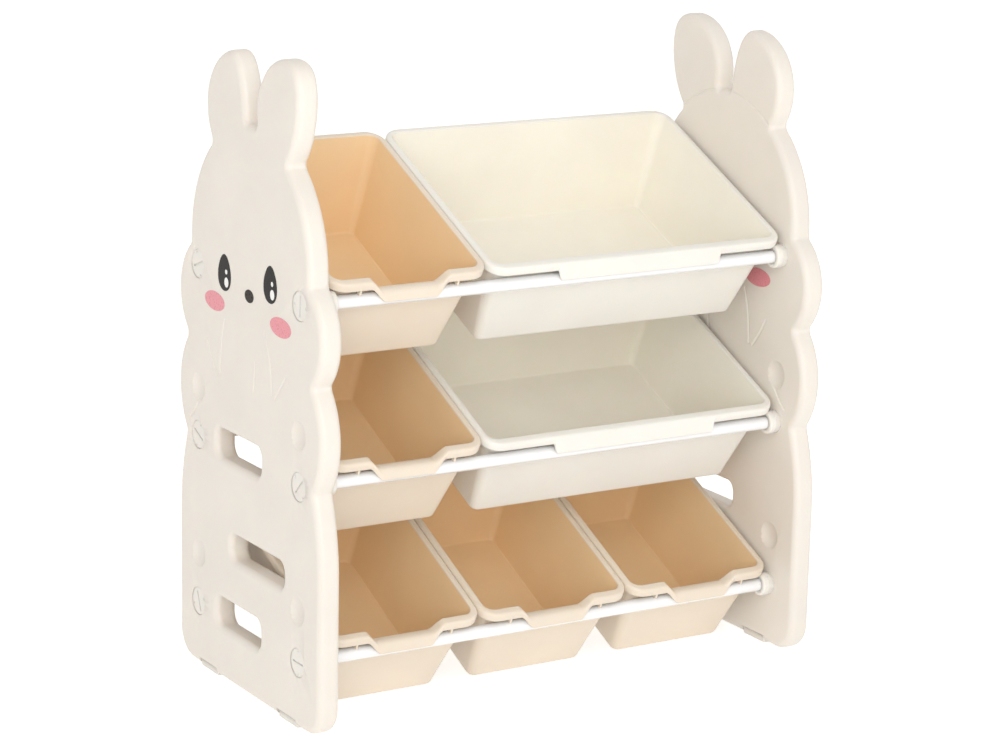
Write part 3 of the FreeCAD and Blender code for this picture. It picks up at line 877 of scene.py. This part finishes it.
@dataclass
class RailSet:
    """The steel tubes that join the side panels, each standing in a cup at either end."""

    inner_width: float = 640.0
    rail_offset: float = 131.0
    rail_radius: float = 8.0
    rail_wall: float = 1.2
    end_bevel: float = 0.4
    cup_floor: float = 2.0
    clearance: float = 0.3
    turn_steps: int = 64

    def build_rail(self, row: Row, depth: float, place: str) -> bpy.types.Object:
        """Model one tube with eased ends.

        Args:
            row: The level.
            depth: The rail's distance behind the rack's middle.
            place: The word front or rear.

        Returns:
            The finished piece.
        """
        half = self.inner_width / 2 - self.cup_floor - self.clearance
        outer = self.rail_radius
        inner = outer - self.rail_wall
        bevel = self.end_bevel
        profile = [(-half, inner), (-half, outer - bevel), (-half + bevel, outer)]
        profile += [(half * share, outer) for share in (-0.6, -0.2, 0.2, 0.6)]
        profile += [(half - bevel, outer), (half, outer - bevel), (half, inner), (-half, inner)]
        mesh = bmesh.new()
        lathe(mesh, profile, Vector((0, depth, row.value)) * MM, self.turn_steps)
        recalculate(mesh)
        node = f"{place}_{row.label}_rail"
        return publish(mesh, node + "_tube", [RAIL_PAINT.material()], RACK_BODY, [node])

    def build(self) -> None:
        """Model all tubes."""
        for row in Row:
            self.build_rail(row, -self.rail_offset, "front")
            self.build_rail(row, self.rail_offset, "rear")


# Nodes that keep the solid's own shape


@dataclass
class SolidDress:
    """Solids whose shape is right, shown as a merged and smoothed copy with a finish."""

    smooth_degrees: float = 32.0

    def dress(self, node: str, finish: MouldedPlastic, slot: str) -> bpy.types.Object:
        """Copy a solid's mesh, merge it and give it a finish.

        Args:
            node: The solid's name.
            finish: The finish it gets.
            slot: The record's material slot. It is not used.

        Returns:
            The finished piece.
        """
        mesh = bmesh.new()
        mesh.from_mesh(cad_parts[node].data)
        bmesh.ops.remove_doubles(mesh, verts=mesh.verts[:], dist=1e-6)
        for layer in list(mesh.loops.layers.uv.values()):
            mesh.loops.layers.uv.remove(layer)
        materials = [finish.material()]
        return publish(mesh, node + "_skin", materials, RACK_BODY, [node], self.smooth_degrees)


# Face prints


@dataclass(frozen=True)
class Glint:
    """A white oval on a printed eye, placed from the eye's middle, in millimetres."""

    ahead: float
    above: float
    width: float
    height: float


@dataclass
class FacePrint:
    """One kind of printed sticker, which every face of both panels carries at the same places."""

    kind: str
    places: Sequence[Point2]
    width: float
    height: float
    finish: PrintedVinyl
    taper: float = 0.0
    glints: Sequence[Glint] = ()
    panel_centre: float = 334.25
    panel_thickness: float = 28.5
    film: float = 0.3
    glint_film: float = 0.08
    segments: int = 72

    def add_oval(
        self,
        mesh: bmesh.types.BMesh,
        side: Side,
        face_x: float,
        place: Point2,
        size: Point2,
        taper: float,
        film: float,
    ) -> list[bmesh.types.BMFace]:
        """Lay one oval film on a panel's face.

        Args:
            mesh: The mesh that takes the film.
            side: The panel.
            face_x: The face's distance from the panel's middle plane, with its sign, as on the left panel.
            place: The oval's middle as depth and height on the left panel.
            size: Its width and height.
            taper: How much narrower its upper end is.
            film: The film's thickness.

        Returns:
            The film's faces.
        """
        disc = bmesh.ops.create_circle(mesh, cap_ends=True, segments=self.segments, radius=1.0)["verts"]
        turn = -float(side.value)
        for vertex in disc:
            across, rise = vertex.co.x, vertex.co.y
            depth = place[0] + across * size[0] / 2 * (1 - taper * rise)
            x = -self.panel_centre + face_x
            vertex.co = Vector((turn * x, turn * depth, place[1] + rise * size[1] / 2)) * MM
        face = next(face for face in disc[0].link_faces)
        grown = bmesh.ops.extrude_face_region(mesh, geom=[face])["geom"]
        moved = [item for item in grown if isinstance(item, bmesh.types.BMVert)]
        way = turn * math.copysign(film * MM, face_x)
        bmesh.ops.translate(mesh, verts=moved, vec=(way, 0, 0))
        return list({face for vertex in disc + moved for face in vertex.link_faces})

    def build(self) -> None:
        """Lay the prints of both panels."""
        for side in Side:
            mesh = bmesh.new()
            for face_side in (-1, 1):
                face_x = face_side * self.panel_thickness / 2
                size = (self.width, self.height)
                for place in self.places:
                    self.add_oval(mesh, side, face_x, place, size, self.taper, self.film)
                    for glint in self.glints:
                        spot = (place[0] - glint.ahead, place[1] + glint.above)
                        top = face_x + face_side * self.film
                        glint_size = (glint.width, glint.height)
                        for face in self.add_oval(mesh, side, top, spot, glint_size, 0.0, self.glint_film):
                            face.material_index = 1
            recalculate(mesh)
            node = f"{side.label}_{self.kind}_stickers"
            materials = [self.finish.material()]
            if self.glints:
                materials.append(GLINT_VINYL.material())
            publish(mesh, node + "_print", materials, RACK_BODY, [node])


# Studio


@dataclass(frozen=True)
class SoftLamp:
    """A square soft lamp, with its place and side in metres."""

    name: str
    place: tuple[float, float, float]
    side: float
    watts: float


@dataclass
class Studio:
    """A pale floor, soft light and the camera at the photograph's angle."""

    camera_place: tuple[float, float, float] = (-1.9319, -3.1641, 1.2639)
    yaw: float = 31.375
    pitch: float = 13.729
    roll: float = 1.244
    focal_pixels: float = 3111.4
    image_width: float = 1000.0
    sensor_mm: float = 36.0
    floor_half: float = 30.0
    floor_paint: tuple[float, float, float] = (0.82, 0.82, 0.82)
    floor_bounce: float = 0.26
    floor_white: float = 0.62
    room_tint: tuple[float, float, float] = (1.0, 0.982, 0.955)
    room_light: float = 0.70
    lamp_target: tuple[float, float, float] = (0.0, 0.0, 0.4)
    lamps: tuple[SoftLamp, ...] = (
        SoftLamp("front_softbox", place=(-1.7, -3.2, 1.5), side=2.6, watts=56.0),
        SoftLamp("right_softbox", place=(1.6, -3.0, 1.9), side=2.0, watts=7.0),
    )

    def build_camera(self) -> None:
        """Set the camera where the photograph was taken."""
        yaw = math.radians(self.yaw)
        pitch = math.radians(self.pitch)
        roll = math.radians(self.roll)
        level = math.cos(pitch)
        ahead = Vector((math.sin(yaw) * level, math.cos(yaw) * level, -math.sin(pitch)))
        right = Vector((math.cos(yaw), -math.sin(yaw), 0))
        up = right.cross(ahead)
        rolled_right = right * math.cos(roll) + up * math.sin(roll)
        rolled_up = up * math.cos(roll) - right * math.sin(roll)
        turn = Matrix((rolled_right, rolled_up, -ahead)).transposed()
        data = bpy.data.cameras.new("photo_camera")
        data.sensor_fit = "HORIZONTAL"
        data.sensor_width = self.sensor_mm
        data.lens = self.focal_pixels * self.sensor_mm / self.image_width
        camera = bpy.data.objects.new("photo_camera", data)
        camera.matrix_world = Matrix.Translation(self.camera_place) @ turn.to_4x4()
        bpy.context.scene.collection.objects.link(camera)
        bpy.context.scene.camera = camera

    def direct_view(self, tree: bpy.types.NodeTree) -> bpy.types.NodeSocket:
        """Tell what is looked at directly, mirrored or through a clear piece.

        Args:
            tree: The node tree that takes the nodes.

        Returns:
            A socket that is one for such views and zero otherwise.
        """
        path = tree.nodes.new("ShaderNodeLightPath")
        seen = path.outputs["Is Camera Ray"]
        for kind in ("Is Glossy Ray", "Is Transmission Ray"):
            either = tree.nodes.new("ShaderNodeMath")
            either.operation = "MAXIMUM"
            tree.links.new(seen, either.inputs[0])
            tree.links.new(path.outputs[kind], either.inputs[1])
            seen = either.outputs[0]
        return seen

    def build_floor(self) -> None:
        """Lay a wide pale floor that shows white and keeps the shadow."""
        mesh = bmesh.new()
        bmesh.ops.create_grid(mesh, x_segments=1, y_segments=1, size=self.floor_half)
        data = bpy.data.meshes.new("studio_floor")
        mesh.to_mesh(data)
        mesh.free()
        floor = bpy.data.objects.new("studio_floor", data)
        bpy.context.scene.collection.objects.link(floor)
        sketch = NodeSketch("studio_floor_white")
        paint = sketch.node("ShaderNodeBsdfDiffuse", Color=(*self.floor_paint, 1.0))
        seen = self.direct_view(sketch.tree)
        shine = sketch.node(
            "ShaderNodeMapRange", Value=seen, To_Min=self.floor_bounce, To_Max=self.floor_white
        )
        strength = shine.outputs["Result"]
        glow = sketch.node("ShaderNodeEmission", Color=(1.0, 1.0, 1.0, 1.0), Strength=strength)
        both = sketch.tree.nodes.new("ShaderNodeAddShader")
        sketch.tree.links.new(paint.outputs[0], both.inputs[0])
        sketch.tree.links.new(glow.outputs[0], both.inputs[1])
        data.materials.append(sketch.finish(both))

    def build_world(self) -> None:
        """Light the room evenly and show white behind the object."""
        world = bpy.data.worlds.new("studio_room")
        bpy.context.scene.world = world
        world.use_nodes = True
        tree = world.node_tree
        tree.nodes.clear()
        output = tree.nodes.new("ShaderNodeOutputWorld")
        room = tree.nodes.new("ShaderNodeBackground")
        room.inputs["Color"].default_value = (*self.room_tint, 1.0)
        room.inputs["Strength"].default_value = self.room_light
        white = tree.nodes.new("ShaderNodeBackground")
        white.inputs["Color"].default_value = (1.0, 1.0, 1.0, 1.0)
        white.inputs["Strength"].default_value = 1.0
        choose = tree.nodes.new("ShaderNodeMixShader")
        tree.links.new(self.direct_view(tree), choose.inputs["Fac"])
        tree.links.new(room.outputs[0], choose.inputs[1])
        tree.links.new(white.outputs[0], choose.inputs[2])
        tree.links.new(choose.outputs[0], output.inputs["Surface"])

    def build_lamp(self, soft: SoftLamp) -> None:
        """Hang one soft lamp that looks at the rack.

        Args:
            soft: The lamp's name, place, size and power.
        """
        data = bpy.data.lights.new(soft.name, "AREA")
        data.shape = "SQUARE"
        data.size = soft.side
        data.energy = soft.watts
        lamp = bpy.data.objects.new(soft.name, data)
        spot = Vector(soft.place)
        lamp.rotation_euler = (Vector(self.lamp_target) - spot).to_track_quat("-Z", "Y").to_euler()
        lamp.location = spot
        bpy.context.scene.collection.objects.link(lamp)

    def build(self) -> None:
        """Set up the whole studio."""
        bpy.context.scene.view_settings.view_transform = "Standard"
        self.build_camera()
        self.build_floor()
        self.build_world()
        for soft in self.lamps:
            self.build_lamp(soft)


def main() -> None:
    """Build every sub-assembly in order."""
    logging.basicConfig(level=logging.INFO, format="%(name)s: %(message)s")
    pitch = 210.0
    small_width = 209.0
    small = (small_width, LipStyle.DIPPED, SMALL_BIN_GLARE_PAINT, SMALL_BIN_BOUNCE_PAINT)
    large = (small_width + pitch, LipStyle.STRAIGHT, LARGE_BIN_GLARE_PAINT, LARGE_BIN_BOUNCE_PAINT)
    for place, column in (("left", -1), ("centre", 0), ("right", 1)):
        Bin(f"bottom_{place}_bin", Row.BOTTOM, column * pitch, *small).build()
    for row in (Row.MIDDLE, Row.TOP):
        Bin(f"{row.label}_small_bin", row, -pitch, *small).build()
        Bin(f"{row.label}_large_bin", row, pitch / 2, *large).build()
    RailSet().build()
    dress = SolidDress()
    for side in Side:
        dress.dress(f"{side.label}_panel", PANEL_PLASTIC, "panel")
        dress.dress(f"{side.label}_rail_connectors", CONNECTOR_PLASTIC, "connector")
        dress.dress(f"{side.label}_screw_caps", CAP_PLASTIC, "screw_cap")
        dress.dress(f"{side.label}_foot_pads", FOOT_PLASTIC, "foot_pad")
    eye_places = ((58.5, 507.0), (-59.5, 515.0))
    nose_places = ((-6.0, 491.0),)
    cheek_places = ((84.5, 468.0), (-85.5, 470.0))
    upper_glint = Glint(ahead=5.0, above=1.5, width=5.6, height=5.8)
    lower_glint = Glint(ahead=5.4, above=-11.0, width=10.4, height=12.0)
    glints = (upper_glint, lower_glint)
    eye = FacePrint("eye", eye_places, width=33.0, height=44.0, finish=EYE_VINYL, taper=0.2, glints=glints)
    nose = FacePrint("nose", nose_places, width=22.5, height=15.5, finish=NOSE_VINYL)
    cheek = FacePrint("cheek", cheek_places, width=52.0, height=23.0, finish=CHEEK_VINYL)
    for print_kind in (eye, nose, cheek):
        print_kind.build()
    Studio().build()


if __name__ == "__main__":
    main()
